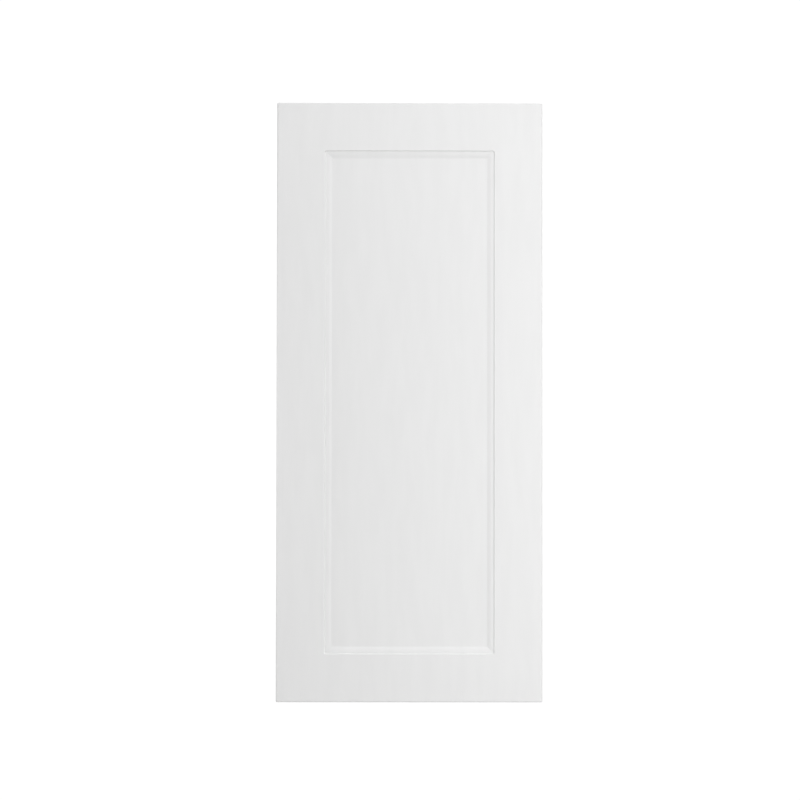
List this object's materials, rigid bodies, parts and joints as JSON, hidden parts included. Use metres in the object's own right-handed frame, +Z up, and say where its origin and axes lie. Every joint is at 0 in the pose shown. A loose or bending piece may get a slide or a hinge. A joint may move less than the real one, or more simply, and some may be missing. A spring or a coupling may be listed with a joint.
{
  "type": "kitchen cabinet door",
  "caption": "Tall white kitchen cabinet door: one board with a flat panel recessed inside a routed quirk and ovolo moulding, bored behind for concealed hinges.",
  "frame": {"origin": "middle of the flat back face", "axes": "+X across the door, to the right seen from the front; +Y through the thickness, from the moulded front to the flat back; +Z up the door's height"},
  "size_m": [0.397, 0.018, 0.895],
  "materials": {
    "white_foil": "satin"
  },
  "bodies": {
    "root": {"door_leaf": "white_foil"}
  },
  "joints": []
}
